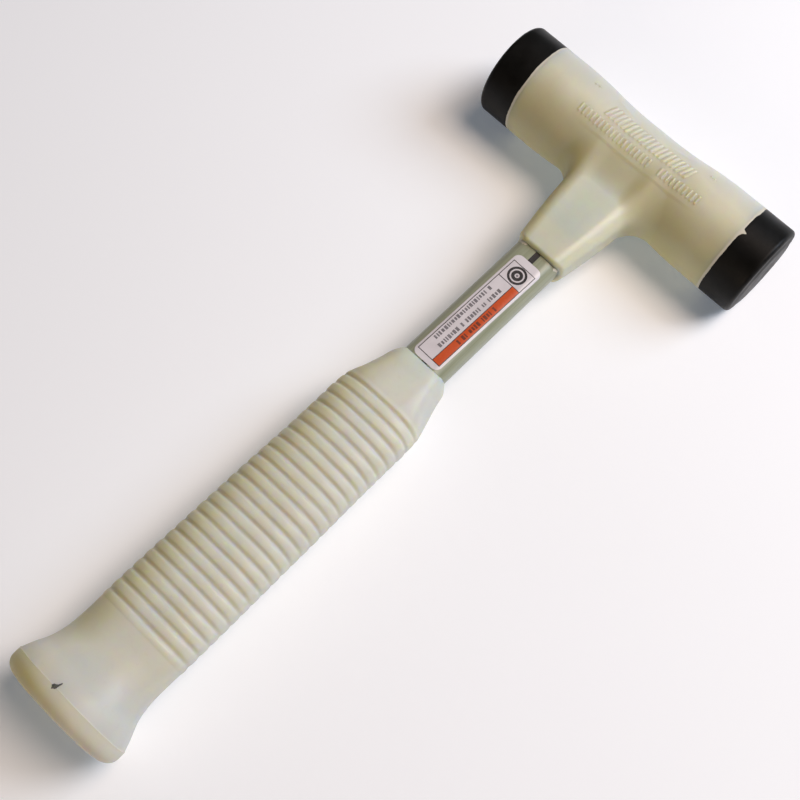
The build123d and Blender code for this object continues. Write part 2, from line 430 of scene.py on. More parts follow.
def close_material(tree, **inputs):
    """Ends a material in a Principled shader. Keyword names use _ for the sockets' spaces."""
    shader = node(tree, "ShaderNodeBsdfPrincipled", {k.replace("_", " "): v for k, v in inputs.items()})
    node(tree, "ShaderNodeOutputMaterial", {"Surface": shader.outputs["BSDF"]})


# ---- materials
# The olive tint below is painted shade for sides turned away from the key lamp, and the pale cool one is
# painted light for sides facing it; the weight sets how strongly the tone attribute lays them on.
PAINTED_SHADE_TINT = (0.500, 0.470, 0.200)
PAINTED_LIGHT_TINT = (0.500, 0.535, 0.550)
PAINTED_TINT_WEIGHT = 0.8


def cream_polymer(name, light, deep, gloss, glow):
    """Slightly translucent moulded polymer with cloudy tone, fine texture, painted light and shade by which
    way it faces, and patchy darkening in recesses that is in part dirt and in part painted shade.

    Its mesh may carry "recess", 0 to 1, and "tone", from -1 for pale cool painted light to 1 for olive
    painted shade.
    """
    made, tree = new_material(name)
    place = object_coords(tree)
    cloud = mottle(tree, place, (22, 4, 0.6), (0.35, 0.65))
    colour = blend_colour(tree, cloud, light, deep)
    # Painted light and shade: tone above 0 mixes in the olive painted shade, and tone below 0 the pale cool
    # painted light.
    tone = node(tree, "ShaderNodeAttribute", attribute_name="tone").outputs["Fac"]
    colour = blend_colour(tree, spread(tree, tone, 0.0, 1.0, 0.0, PAINTED_TINT_WEIGHT), colour, PAINTED_SHADE_TINT)
    colour = blend_colour(tree, spread(tree, tone, -1.0, 0.0, PAINTED_TINT_WEIGHT, 0.0), colour, PAINTED_LIGHT_TINT)
    fleck = mottle(tree, place, (420, 2), (0.62, 0.78), (0.0, 0.10))
    colour = blend_colour(tree, fleck, colour, (0.47, 0.42, 0.28))
    # Patchy darkening where the mesh's recess value is high, in grooves, round the raised marks and towards
    # the butt's end: in part dirt, in part painted shade.
    recess = node(tree, "ShaderNodeAttribute", attribute_name="recess").outputs["Fac"]
    patch = mottle(tree, place, (75, 3), (0.3, 0.7), (0.45, 1.0))
    dark_patches = product(tree, recess, patch)
    colour = blend_colour(tree, product(tree, dark_patches, 0.28), colour, (0.44, 0.42, 0.26))
    rough = mottle(tree, place, (130, 4), (0.3, 0.7), (gloss - 0.06, gloss + 0.08))
    grain = bump(tree, noise_value(tree, place, 1500, 2), 0.000012)
    peel = bump(tree, noise_value(tree, place, 160, 2), 0.00007, grain)
    close_material(
        tree, Base_Color=colour, Roughness=rough, Normal=peel, IOR=1.5,
        Subsurface_Weight=glow, Subsurface_Radius=(1.0, 0.66, 0.16), Subsurface_Scale=0.009,
    )
    return made


def black_rubber():
    """Hard black rubber with a faint dusty bloom and light scuffs."""
    made, tree = new_material("black_rubber")
    place = object_coords(tree)
    bloom = mottle(tree, place, (60, 5, 0.65), (0.42, 0.75))
    colour = blend_colour(tree, bloom, (0.0035, 0.0033, 0.0028), (0.009, 0.009, 0.0085))
    scuff = mottle(tree, object_coords(tree, (0.35, 1, 1)), (900, 3), (0.66, 0.8), (0, 0.35))
    colour = blend_colour(tree, scuff, colour, (0.022, 0.022, 0.021))
    wear = node(tree, "ShaderNodeAttribute", attribute_name="wear").outputs["Fac"]
    colour = blend_colour(tree, product(tree, wear, 0.4), colour, (0.035, 0.035, 0.034))
    rough = mottle(tree, place, (110, 4), (0.3, 0.7), (0.36, 0.52))
    grain = bump(tree, noise_value(tree, place, 1800, 2), 0.000015)
    close_material(
        tree, Base_Color=colour, Roughness=rough, Normal=grain, IOR=1.5, Specular_IOR_Level=0.14,
    )
    return made


def fibreglass():
    """Pultruded glass fibre: fine lengthwise streaks in a grey-green resin."""
    made, tree = new_material("fibreglass")
    streak = noise_value(tree, object_coords(tree, (1, 0.015, 1)), 1400, 4, 0.6)
    wide = noise_value(tree, object_coords(tree, (1, 0.06, 1)), 240, 3)
    resin = spread(tree, wide, 0.35, 0.65)
    colour = blend_colour(tree, resin, (0.255, 0.275, 0.180), (0.325, 0.345, 0.245))
    fibres = spread(tree, streak, 0.5, 0.75, 0.0, 0.45)
    colour = blend_colour(tree, fibres, colour, (0.43, 0.45, 0.34))
    rough = spread(tree, wide, 0.3, 0.7, 0.30, 0.44)
    lines = bump(tree, streak, 0.00004)
    close_material(
        tree, Base_Color=colour, Roughness=rough, Normal=lines, IOR=1.52,
        Subsurface_Weight=0.12, Subsurface_Radius=(1.0, 0.9, 0.6), Subsurface_Scale=0.002,
    )
    return made


def tracer_yarn():
    """Dark yarn set in resin, streaked lengthwise."""
    made, tree = new_material("tracer_yarn")
    streak = noise_value(tree, object_coords(tree, (1, 0.03, 1)), 2200, 3)
    fibres = spread(tree, streak, 0.4, 0.7)
    colour = blend_colour(tree, fibres, (0.010, 0.008, 0.009), (0.035, 0.028, 0.030))
    close_material(tree, Base_Color=colour, Roughness=0.5, Normal=bump(tree, streak, 0.00005), IOR=1.5)
    return made


def label_film():
    """Printed film, slightly cloudy and wrinkled."""
    made, tree = new_material("label_film")
    place = object_coords(tree)
    tone = mottle(tree, place, (90, 4), (0.35, 0.65))
    colour = blend_colour(tree, tone, (0.70, 0.665, 0.685), (0.61, 0.575, 0.59))
    rough = mottle(tree, place, (260, 3), (0.3, 0.7), (0.28, 0.42))
    wrinkle = bump(tree, noise_value(tree, place, 130, 2), 0.00008)
    close_material(tree, Base_Color=colour, Roughness=rough, Normal=wrinkle, IOR=1.48)
    return made


def ink(name, dark, worn):
    """Printed ink that lets a little of the film through where it is worn."""
    made, tree = new_material(name)
    place = object_coords(tree)
    wear = mottle(tree, place, (900, 4, 0.7), (0.5, 0.8))
    colour = blend_colour(tree, wear, dark, worn)
    rough = mottle(tree, place, (300, 2), (0.3, 0.7), (0.36, 0.5))
    close_material(tree, Base_Color=colour, Roughness=rough, IOR=1.48)
    return made


def steel(name, colour, shade, rough_range, stretch):
    """Metal with fine lines along its making direction and cloudy tarnish."""
    made, tree = new_material(name)
    lines = noise_value(tree, object_coords(tree, stretch), 900, 4, 0.6)
    cloud = mottle(tree, object_coords(tree), (70, 4), (0.35, 0.7))
    rough = spread(tree, lines, 0.3, 0.7, *rough_range)
    close_material(
        tree, Base_Color=blend_colour(tree, cloud, colour, shade), Metallic=1.0, Roughness=rough,
        Normal=bump(tree, lines, 0.00003),
    )
    return made


def epoxy_resin():
    """Cloudy amber epoxy."""
    made, tree = new_material("epoxy_resin")
    cloud = mottle(tree, object_coords(tree), (160, 4), (0.3, 0.7))
    colour = blend_colour(tree, cloud, (0.42, 0.30, 0.11), (0.52, 0.41, 0.20))
    close_material(tree, Base_Color=colour, Roughness=0.25, IOR=1.55, Subsurface_Weight=0.3,
                   Subsurface_Radius=(1.0, 0.7, 0.3), Subsurface_Scale=0.002)
    return made


def dark_patches():
    """Dark patchy colour."""
    made, tree = new_material("dark_patches")
    patch = mottle(tree, object_coords(tree), (700, 4), (0.35, 0.65))
    colour = blend_colour(tree, patch, (0.05, 0.055, 0.05), (0.16, 0.155, 0.13))
    close_material(tree, Base_Color=colour, Roughness=0.7, IOR=1.45)
    return made


CASING_LIGHT = (0.690, 0.685, 0.560)
CASING_DEEP = (0.650, 0.635, 0.490)
GRIP_LIGHT = (0.690, 0.700, 0.620)
GRIP_DEEP = (0.655, 0.652, 0.545)
FLASH_LIGHT = (0.68, 0.66, 0.56)
FLASH_DEEP = (0.62, 0.59, 0.47)
casing_coat = cream_polymer("cream_casing", CASING_LIGHT, CASING_DEEP, 0.42, 0.85)
grip_coat = cream_polymer("cream_grip", GRIP_LIGHT, GRIP_DEEP, 0.46, 0.85)
flash_coat = cream_polymer("cream_flash", FLASH_LIGHT, FLASH_DEEP, 0.5, 0.05)
rubber_coat = black_rubber()
core_coat = fibreglass()
dark_patch_coat = dark_patches()
film_coat = label_film()
dark_ink = ink("dark_ink", (0.022, 0.020, 0.022), (0.09, 0.085, 0.09))
grey_ink = ink("grey_ink", (0.16, 0.15, 0.16), (0.34, 0.32, 0.33))
orange_ink = ink("orange_ink", (0.56, 0.064, 0.002), (0.60, 0.090, 0.008))
brown_ink = ink("brown_ink", (0.16, 0.03, 0.012), (0.30, 0.05, 0.01))


# ---- casing shape
def barrel_radius_at(x):
    t = np.clip((np.abs(x) - WAIST_LAND) / (WAIST_REACH - WAIST_LAND), 0, 1)
    rise = np.where(t < 0.5, 2 * t * t, 1 - 2 * (1 - t) ** 2)
    return WAIST_R + (BARREL_R - WAIST_R) * rise


def bar(x, y, middle, half, lean=0.0):
    """1 on a leaning bar and 0 off it, with soft sides."""
    across = np.abs(x - middle[0] - lean * (y - middle[1])) - half[0]
    along = np.abs(y - middle[1]) - half[1]
    return smooth(0.5 - np.maximum(across, along) / BAR_SOFT)


def relief(x, y):
    """Height of the raised panel and its pattern over the barrel."""
    panel = PANEL_RISE * smooth((y - PANEL_MIDDLE[1] + PANEL_HALF[1]) / PANEL_SOFT + 0.5)
    panel = panel * smooth((PANEL_HALF[0] - np.abs(x - PANEL_MIDDLE[0])) / PANEL_END_FADE)
    panel = panel * smooth((PANEL_MIDDLE[1] + PANEL_HALF[1] - y) / PANEL_TOP_FADE)
    marks = np.zeros_like(x)
    for i in range(UPPER_BARS):
        middle = UPPER_MIDDLE[0] + (i - (UPPER_BARS - 1) / 2) * UPPER_PITCH
        for side in (-1, 1):
            place = (middle + side * UPPER_SPLIT, UPPER_MIDDLE[1])
            marks = np.maximum(marks, bar(x, y, place, UPPER_HALF, UPPER_LEAN))
    for start, count in LOWER_GROUPS:
        for i in range(count):
            marks = np.maximum(marks, bar(x, y, (start + i * LOWER_PITCH, LOWER_Y), LOWER_HALF))
    for dot in DOTS:
        marks = np.maximum(marks, bar(x, y, dot, DOT_HALF))
    return panel + BAR_RISE * marks


def casing_distance(p):
    """Distance from the casing's outer skin, below 0 inside."""
    x, y, z = p.T
    station = -y
    barrel = np.hypot(y, z) - barrel_radius_at(x)
    rows = (NECK_HALF_W, NECK_HALF_T, NECK_CORNER)
    half_w, half_t, corner = (smooth_interp(station, NECK_STATIONS, row) for row in rows)
    out_w, out_t = np.abs(x) - half_w + corner, np.abs(z) - half_t + corner
    neck = np.hypot(np.maximum(out_w, 0), np.maximum(out_t, 0))
    neck = neck + np.minimum(np.maximum(out_w, out_t), 0) - corner
    neck = np.maximum(neck, np.maximum(-station, station - NECK_STATIONS[-1]))
    radius = BLEND_FRONT + (BLEND_SIDE - BLEND_FRONT) * smooth((np.abs(x) - 6) / 8)
    joined = np.maximum(radius, np.minimum(barrel, neck))
    joined = joined - np.hypot(np.maximum(radius - barrel, 0), np.maximum(radius - neck, 0))
    mouth = MOUTH_R - np.hypot(station - MOUTH_STATION - MOUTH_R, z)
    bevel = (joined + mouth + MOUTH_BEVEL) * math.sqrt(0.5)
    return soft_max(soft_max(joined, mouth, 0.25), bevel, 0.5)


def soft_max(a, b, reach):
    h = np.maximum(reach - np.abs(a - b), 0) / reach
    return np.maximum(a, b) + h * h * reach / 4


def in_front(p, reach):
    """True for points in front of the axis and within reach of the middle."""
    return (p[:, 2] > 0) & (np.abs(p[:, 0]) < reach[0]) & (np.abs(p[:, 1]) < reach[1])


def casing_skin(p):
    """Distance from the casing's skin with its raised pattern."""
    near = in_front(p, PATTERN_REACH)
    rise = np.zeros(len(p))
    rise[near] = relief(p[near, 0], p[near, 1])
    return casing_distance(p) - rise


def slope(p, distance, step=0.02):
    """Gradient of a distance function at each point."""
    result = np.empty_like(p)
    for axis in range(3):
        shift = np.zeros(3)
        shift[axis] = step
        result[:, axis] = (distance(p + shift) - distance(p - shift)) / (2 * step)
    return result


def settle(p, distance, steps=5):
    """Moves points along the slope onto the skin where distance is 0."""
    for _ in range(steps):
        g = slope(p, distance)
        p = p - g * (distance(p) / np.maximum((g * g).sum(1), 0.2))[:, None]
    return p


def modified(mesh, kind, **settings):
    """The mesh after one modifier, as a new mesh."""
    obj = add_object("work", mesh)
    modifier = obj.modifiers.new("step", kind)
    for key, value in settings.items():
        setattr(modifier, key, value)
    depsgraph = bpy.context.evaluated_depsgraph_get()
    result = bpy.data.meshes.new_from_object(obj.evaluated_get(depsgraph))
    bpy.data.objects.remove(obj)
    return result


def read_values(items, name, width=1, kind=float):
    """One value, or width of them in a row, from each of a mesh's items."""
    values = np.zeros(len(items) * width, kind)
    items.foreach_get(name, values)
    return values


def mesh_points(mesh):
    return read_values(mesh.vertices, "co", 3).reshape(-1, 3)


def move_points(mesh, points):
    mesh.vertices.foreach_set("co", points.ravel())


def revolved(profile, around):
    """Closed skin of (x, radius) points turned round the head's axis. Both ends are on the axis."""
    angles = np.arange(around) * 2 * math.pi / around
    rings = [np.column_stack([np.full(around, x), r * np.cos(angles), r * np.sin(angles)])
             for x, r in profile[1:-1]]
    return skin(rings, (profile[0][0], 0, 0), (profile[-1][0], 0, 0))


def prism(outline, start, end):
    """Closed block with an (x, z) outline, from one station to another."""
    rings = [ring_at(s, *outline.T) for s in (start, end)]
    return skin(rings, (0, -start, 0), (0, -end, 0))


def joined_mesh(*solids):
    """One mesh of several (points, faces) solids."""
    mesh = bpy.data.meshes.new("solids")
    points, faces = merge(solids)
    mesh.from_pydata(points.tolist(), [], faces)
    edit_mesh(mesh, face_outward)
    return mesh


def merged_copy(obj):
    """A CAD node's mesh in place, with its doubled points merged so that it is closed."""
    mesh = bpy.data.meshes.new("merged")
    work = bmesh.new()
    work.from_mesh(obj.data)
    work.transform(obj.matrix_world)
    bmesh.ops.remove_doubles(work, verts=work.verts, dist=1e-6)
    face_outward(work)
    work.to_mesh(mesh)
    work.free()
    return mesh


def refine_pattern(work):
    """Splits the faces under the raised pattern into four."""
    reach = (PANEL_HALF[0] + 0.8, PANEL_HALF[1] + 0.8)
    chosen = {}
    for face in work.faces:
        c = face.calc_center_median()
        if c.z > 0 and abs(c.x - PANEL_MIDDLE[0]) < reach[0] and abs(c.y) < reach[1]:
            chosen.update(dict.fromkeys(face.edges))
    bmesh.ops.subdivide_edges(work, edges=list(chosen), cuts=1, use_grid_fill=True)


def cut_ends(work):
    """Trims the barrel flat at both seams."""
    for side in (-1, 1):
        everything = work.verts[:] + work.edges[:] + work.faces[:]
        cut = bmesh.ops.bisect_plane(
            work, geom=everything, plane_co=(side * SEAM, 0, 0), plane_no=(side, 0, 0), clear_outer=True
        )
        rim = [e for e in cut["geom_cut"] if isinstance(e, bmesh.types.BMEdge)]
        bmesh.ops.edgeloop_fill(work, edges=rim)


def add_casing():
    """Moulded casing: barrel and neck flow together, with the steelwork's pocket cut out."""
    end = SEAM + CUT_MARGIN
    outline = [(x, float(barrel_radius_at(x))) for x in np.linspace(-end, end, BARREL_RINGS)]
    barrel = revolved([(-end, 0)] + outline + [(end, 0)], BARREL_AROUND)
    neck = prism(rounded_rect(*NECK_BLOCK, 8, 6), 4, NECK_STATIONS[-1])
    mesh = joined_mesh(barrel, neck)
    for voxel in (ROUGH_VOXEL, FINE_VOXEL):
        mesh = modified(mesh, "REMESH", mode="VOXEL", voxel_size=voxel)
        move_points(mesh, settle(mesh_points(mesh), casing_distance))
    edit_mesh(mesh, refine_pattern)
    move_points(mesh, settle(mesh_points(mesh), casing_skin))
    edit_mesh(mesh, cut_ends)
    move_points(mesh, to_row(mesh_points(mesh)))
    mesh.update()

    pocket_profile = [
        (-SEAM - 1, 0), (-SEAM - 1, SPIGOT_R), (-SEAM + SPIGOT_LENGTH, SPIGOT_R),
        (-SEAM + SPIGOT_LENGTH, STUD_R), (-CANISTER_HALF, STUD_R), (-CANISTER_HALF, CANISTER_R),
    ]
    pocket_profile += [(-x, r) for x, r in reversed(pocket_profile)]
    cutters = [
        revolved(pocket_profile, POCKET_AROUND),
        prism(rounded_rect(SOCKET_HALF_W, SOCKET_HALF_T, SOCKET_CORNER, 16, 4), 5, SOCKET_END),
        prism(rounded_rect(CORE_HALF_W, CORE_HALF_T, CORE_CORNER, 16, 4), 6, NECK_STATIONS[-1] + 5),
    ]
    cutter_meshes = [joined_mesh((to_row(points), faces)) for points, faces in cutters]
    for cutter_mesh in cutter_meshes + [merged_copy(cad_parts["socket_weld"])]:
        cutter = add_object("cutter", cutter_mesh)
        mesh = modified(mesh, "BOOLEAN", operation="DIFFERENCE", solver="MANIFOLD", object=cutter)
        bpy.data.objects.remove(cutter)
    mesh.materials.clear()
    casing = finish_piece("casing", mesh, casing_coat)
    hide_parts("head_body")
    true_normals(casing.data)
    points = mesh_points(casing.data) / MM - (0, AXIS_Y, AXIS_Z)
    # Recess is high where the skin lies below the raised marks round it, at their feet and between them;
    # the material darkens it there as dirt and painted shade.
    front = in_front(points, RECESS_REACH)
    recess = np.zeros(len(points))
    around = sum(relief(points[front, 0] + dx, points[front, 1] + dy)
                 for dx, dy in ((0.7, 0), (-0.7, 0), (0, 0.7), (0, -0.7))) / 4
    recess[front] = np.clip((around - relief(points[front, 0], points[front, 1])) / 0.12, 0, 1)
    add_values(casing, "recess", recess)
    # Painted light and shade by facing: the far side of the barrel, which faces the key lamp, gets the pale
    # cool painted light, while the side towards the handle and the left end get the olive painted shade;
    # the ripple adds a faint random tone.
    outward = slope(points, casing_distance)
    tone = 0.08 * ripple(*(points.T / 14), seed=51)
    key_facing = np.where(outward[:, 1] > 0, 1.1, 0.85) * outward[:, 1]
    tone = tone - key_facing + 1.1 * np.maximum(-outward[:, 0], 0)
    add_values(casing, "tone", np.clip(tone, -1, 1))


def true_normals(mesh):
    """Gives the outer skin the exact normals of its distance function, and the rest flat ones."""
    points = mesh_points(mesh) / MM - (0, AXIS_Y, AXIS_Z)
    off = casing_skin(points)
    g = slope(points, casing_skin)
    g /= np.linalg.norm(g, axis=1)[:, None]
    corner_vertex = read_values(mesh.loops, "vertex_index", kind=int)
    face_size = read_values(mesh.polygons, "loop_total", kind=int)
    face_normal = read_values(mesh.polygons, "normal", 3)
    owner = np.repeat(np.arange(len(face_size)), face_size)
    flat = face_normal.reshape(-1, 3)[owner]
    smooth_ones = g[corner_vertex]
    agrees = (np.abs(off[corner_vertex]) < 0.03) & ((flat * smooth_ones).sum(1) > 0.8)
    whole = np.ones(len(face_size), bool)
    np.logical_and.at(whole, owner, agrees)
    normals = np.where(whole[owner][:, None], smooth_ones, flat)
    mesh.normals_split_custom_set(normals.tolist())


# ---- striking tips
def arc(centre, radius, start, end, steps):
    """Points on an arc, angles in degrees, as (x, radius) pairs."""
    return [(centre[0] + radius * math.cos(math.radians(a)), centre[1] + radius * math.sin(math.radians(a)))
            for a in np.linspace(start, end, steps)]


def add_tip(side):
    """Black tip: spigot, cylinder, rounded rim and a crowned flat end, hollow for the stud's head."""
    name = side_name(side)
    rim = HEAD_HALF - TIP_CROWN
    profile = [(STUD_HEAD_END, 0), (STUD_HEAD_END, STUD_HEAD_R), (STUD_HEAD_START, STUD_HEAD_R),
               (STUD_HEAD_START, STUD_R), (SEAM - SPIGOT_LENGTH, STUD_R),
               (SEAM - SPIGOT_LENGTH, SPIGOT_R), (SEAM, SPIGOT_R), (SEAM, BARREL_R - TIP_SEAM_ROUND)]
    seam_middle = (SEAM + TIP_SEAM_ROUND, BARREL_R - TIP_SEAM_ROUND)
    profile += arc(seam_middle, TIP_SEAM_ROUND, 180, 90, 4)[1:]
    profile += [(x, BARREL_R) for x in np.linspace(SEAM + 1.0, rim - TIP_RIM - 0.4, 20)]
    profile += arc((rim - TIP_RIM, BARREL_R - TIP_RIM), TIP_RIM, 90, 12, 14)
    shoulder = BARREL_R - TIP_RIM
    for r in np.linspace(shoulder - 0.4, TIP_LAND, 8):
        profile.append((rim + TIP_CROWN * smooth((shoulder - r) / (shoulder - TIP_LAND)), r))
    profile += [(HEAD_HALF, r) for r in np.linspace(TIP_LAND - 1, 0.8, 12)] + [(HEAD_HALF, 0)]
    profile = [(side * x, r) for x, r in profile]
    points, faces = revolved(profile, TIP_AROUND)
    tip = add_piece(f"tip_{name}", points, faces, rubber_coat, "black_face")
    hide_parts(f"face_{name}")
    radius = np.hypot(points[:, 1], points[:, 2])
    reach = np.abs(points[:, 0])
    edge = np.exp(-((radius - shoulder - 0.8) / 1.1) ** 2) * np.clip((reach - rim + 2) / 1.5, 0, 1)
    patchy = 0.6 + 0.5 * ripple(points[:, 1] / 3, points[:, 2] / 3, seed=3)
    add_values(tip, "wear", np.clip(edge * patchy, 0, 1))


def add_seam_flash(side):
    """Thin skin of casing polymer that creeps unevenly over the tip at the seam."""
    around, steps = 360, 6
    angle = np.arange(around) * 2 * math.pi / around
    y, z = np.cos(angle), np.sin(angle)
    reach = 0.16 + 0.12 * ripple(4 * y, 4 * z, seed=11 + side)
    reach = reach + 0.07 * ripple(15 * y, 15 * z, seed=21 + side)
    if side > 0:
        for place, size, width in SEAM_TONGUES:
            reach = reach + size * np.exp(-(((np.degrees(angle) - place) / width) ** 2))
    reach = np.maximum(reach, 0.03)
    t = np.linspace(0, 1, steps)[:, None]
    x = SEAM - 0.8 + (0.8 + reach[None, :]) * t
    lift = 0.035 * (1 - t ** 3) * np.ones_like(x) + 0.004
    top = np.stack([side * x, (BARREL_R + lift) * y, (BARREL_R + lift) * z], axis=2)
    base = (BARREL_R - FLASH_SUNK) * np.ones_like(x)
    bottom = np.stack([side * x, base * y, base * z], axis=2)
    name = f"seam_flash_{side_name(side)}"
    add_piece(name, *thin_shell(top, bottom, True), flash_coat, "cream_casing", 60)


def add_mouth_flash(span, reach, seed):
    """Thin tongue of casing polymer that crept out of the neck's mouth along the core."""
    x = np.linspace(*span, 15)[None, :]
    t = np.linspace(0, 1, 7)[:, None]
    fade = np.sin(np.linspace(0.12, math.pi - 0.12, 15)) ** 0.6
    out = reach * fade * (0.8 + 0.3 * ripple(x[0] * 1.5, seed=seed))
    z = core_front(x)
    start = MOUTH_STATION + MOUTH_R - np.sqrt(MOUTH_R ** 2 - z ** 2) - 0.5
    station = start + t * (0.5 + out[None, :])
    lift = 0.3 * (1 - t ** 2) * fade[None, :] + 0.03
    top = np.stack([x + 0 * t, -station, z + lift], axis=2)
    bottom = np.stack([x + 0 * t, -station, z + 0 * t - 0.15], axis=2)
    name = f"mouth_flash_{side_name(span[0])}"
    add_piece(name, *thin_shell(top, bottom), flash_coat, "cream_casing", 60)


# ---- core, tracer and label
def core_front(x):
    """Height of the core's front above its middle, at x."""
    past = np.maximum(np.abs(x) - (CORE_HALF_W - CORE_CORNER), 0)
    return CORE_HALF_T - CORE_CORNER + np.sqrt(np.maximum(CORE_CORNER ** 2 - past ** 2, 0))


def add_core():
    """Flat rounded bar with a shallow channel for the tracer down its front."""
    outline = rounded_rect(CORE_HALF_W, CORE_HALF_T, CORE_CORNER, 20, 14)
    top_start = np.array((CORE_HALF_W - CORE_CORNER, CORE_HALF_T))
    keep = [p for p in outline if not (p[1] > CORE_HALF_T - 1e-6 and abs(p[0]) < top_start[0] - 1e-6)]
    low, high = TRACER_MIDDLE - TRACER_HALF, TRACER_MIDDLE + TRACER_HALF
    floor = CORE_HALF_T - TRACER_DEPTH
    front = [(x, CORE_HALF_T) for x in np.linspace(top_start[0], high, 5)[1:]]
    front += [(x, floor) for x in np.linspace(high, low, 6)]
    front += [(x, CORE_HALF_T) for x in np.linspace(low, -top_start[0], 8)[:-1]]
    at = next(i for i, p in enumerate(keep) if abs(p[0] - top_start[0]) < 1e-6 and p[1] > 0) + 1
    outline = np.array(keep[:at] + [np.array(p) for p in front] + keep[at:])
    rings = []
    for s in np.linspace(CORE_TOP, CORE_END, 90):
        wander = 0.02 * ripple(outline[:, 0] / 3, outline[:, 1] / 3, s / 9 + np.zeros(len(outline)), seed=5)
        scale = 1 + np.minimum(wander, 0)[:, None] / CORE_HALF_W
        rings.append(ring_at(s, *(outline * scale).T))
    core = add_piece("core", *skin(rings, (0, -CORE_TOP, 0), (0, -CORE_END, 0)), core_coat, "fibreglass")
    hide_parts("handle_core")


def on_label(across, along, rise):
    """Points over the core's front from the label's own directions, in millimetres."""
    x = LABEL_MIDDLE + across * math.cos(LABEL_TURN) + along * math.sin(LABEL_TURN)
    station = LABEL_STATION + along * math.cos(LABEL_TURN) - across * math.sin(LABEL_TURN)
    tilt = np.clip(np.maximum(np.abs(x) - (CORE_HALF_W - CORE_CORNER), 0) / CORE_CORNER, 0, 1) * np.sign(x)
    height = core_front(x) + rise * np.sqrt(1 - tilt ** 2)
    return np.stack([x + rise * tilt, -station, height], axis=-1)


def label_patch(across, along, rise, thick):
    """Closed thin shell over the label from grids of across and along."""
    return thin_shell(on_label(across, along, rise), on_label(across, along, rise - thick))


def add_film():
    """Label film with rounded corners, laid over the core's front."""
    straight = LABEL_HALF_L - LABEL_CORNER
    corner = np.linspace(straight, LABEL_HALF_L, 14)[1:]
    rows = np.concatenate([-corner[::-1], np.linspace(-straight, straight, 80), corner])
    past = np.maximum(np.abs(rows) - straight, 0)
    half = LABEL_HALF_W - LABEL_CORNER + np.sqrt(np.maximum(LABEL_CORNER ** 2 - past ** 2, 0))
    across = half[:, None] * np.linspace(-1, 1, 37)[None, :]
    along = rows[:, None] * np.ones_like(across)
    film = add_piece("film", *label_patch(across, along, LABEL_THICK, LABEL_THICK), film_coat, "label_film")
    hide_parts("label")


def rectangle(low, high, step=0.7):
    """Grids of across and along over a rectangle on the label."""
    across = np.linspace(low[0], high[0], max(2, round((high[0] - low[0]) / step) + 1))
    along = np.linspace(low[1], high[1], max(2, round((high[1] - low[1]) / step) + 1))
    return np.meshgrid(across, along)


def disc_ring(middle, inner, outer, steps=72):
    angle = np.linspace(0, 2 * math.pi, steps + 1)[None, :]
    r = np.linspace(inner, outer, 4)[:, None]
    return middle[0] + r * np.cos(angle), middle[1] + r * np.sin(angle)


def add_print():
    """Plain print on the label: frame lines, a roundel, an orange band and rows of plain blocks."""
    top = LABEL_THICK + PRINT_RISE

    def printed(name, shapes, coat, rise=top):
        patches = [label_patch(*shape, rise, PRINT_THICK) for shape in shapes]
        add_piece(name, *merge(patches), coat, "label_film", 60)

    w, l0, l1 = FRAME_HALF_W, FRAME_START, FRAME_END
    lines = [
        rectangle((-w, l0), (w, l0 + LINE)),
        rectangle((-w, l1 - LINE), (w, l1)),
        rectangle((-w, l0 + LINE), (-w + LINE, l1 - LINE)),
        rectangle((w - LINE, l0 + LINE), (w, l1 - LINE)),
        rectangle((-w + LINE, DIVIDER), (w - LINE, DIVIDER + LINE)),
        rectangle((BAND_INNER, DIVIDER + LINE), (BAND_INNER + LINE, l1 - LINE)),
    ]
    printed("print_lines", lines, dark_ink)
    printed("print_roundel", [disc_ring(ROUNDEL_MIDDLE, *radii) for radii in ROUNDEL_RINGS], dark_ink)
    printed("print_hub", [disc_ring(ROUNDEL_MIDDLE, 0.02, 0.5)], grey_ink)
    band = rectangle((BAND_INNER + LINE, DIVIDER + LINE), (w - LINE, l1 - LINE))
    printed("print_band", [band], orange_ink)
    for name, middle, height, start, end, seed in TEXT_ROWS:
        printed(name, text_blocks(middle, height, start, end, seed), grey_ink)
    blocks = text_blocks((BAND_INNER + w) / 2, 1.9, -5.2, 14.8, 12)
    printed("print_band_blocks", blocks, brown_ink, top + 0.02)


def text_blocks(middle, height, start, end, seed):
    """A row of plain blocks of uneven length with gaps between them."""
    rng = np.random.default_rng(seed)
    shapes, at = [], start
    while at < end - 0.6:
        length = min(rng.choice((0.55, 0.8, 1.1)), end - at)
        half = height / 2 * rng.choice((1.0, 0.8, 1.0))
        shapes.append(rectangle((middle - half, at), (middle + half, at + length)))
        at += length + rng.choice((0.45, 0.5, 0.55, 1.6), p=(0.35, 0.3, 0.2, 0.15))
    return shapes


# ---- grip
def grip_sections():
    """Rows of station, half width, half thickness, squareness and flatness, as oval_ring takes them."""
    rib_start = SHOULDER[-1]
    table = [
        (*SHOULDER[0], 6.0, 0.80), (*SHOULDER[1], 7.5, 0.74), (127, 14.05, 9.1, 8.0, 0.72),
        (134, 16.3, 10.15, 6.5, 0.73), (*rib_start, 3.6, 0.86), (148, 17.95, 10.95, 3.0, 1.0),
        (200, 18.4, 11.27, 2.9, 1.0), (RIB_ZONE_END, RIB_HALF_W, RIB_HALF_T, 2.75, 1.0),
    ]
    table += [(*section, 2.5, 1.0) for section in FLARE]
    table.append((CREASE, BUTT_HALF_W, AXIS_Z, BUTT_POWER, 1.0))
    return table


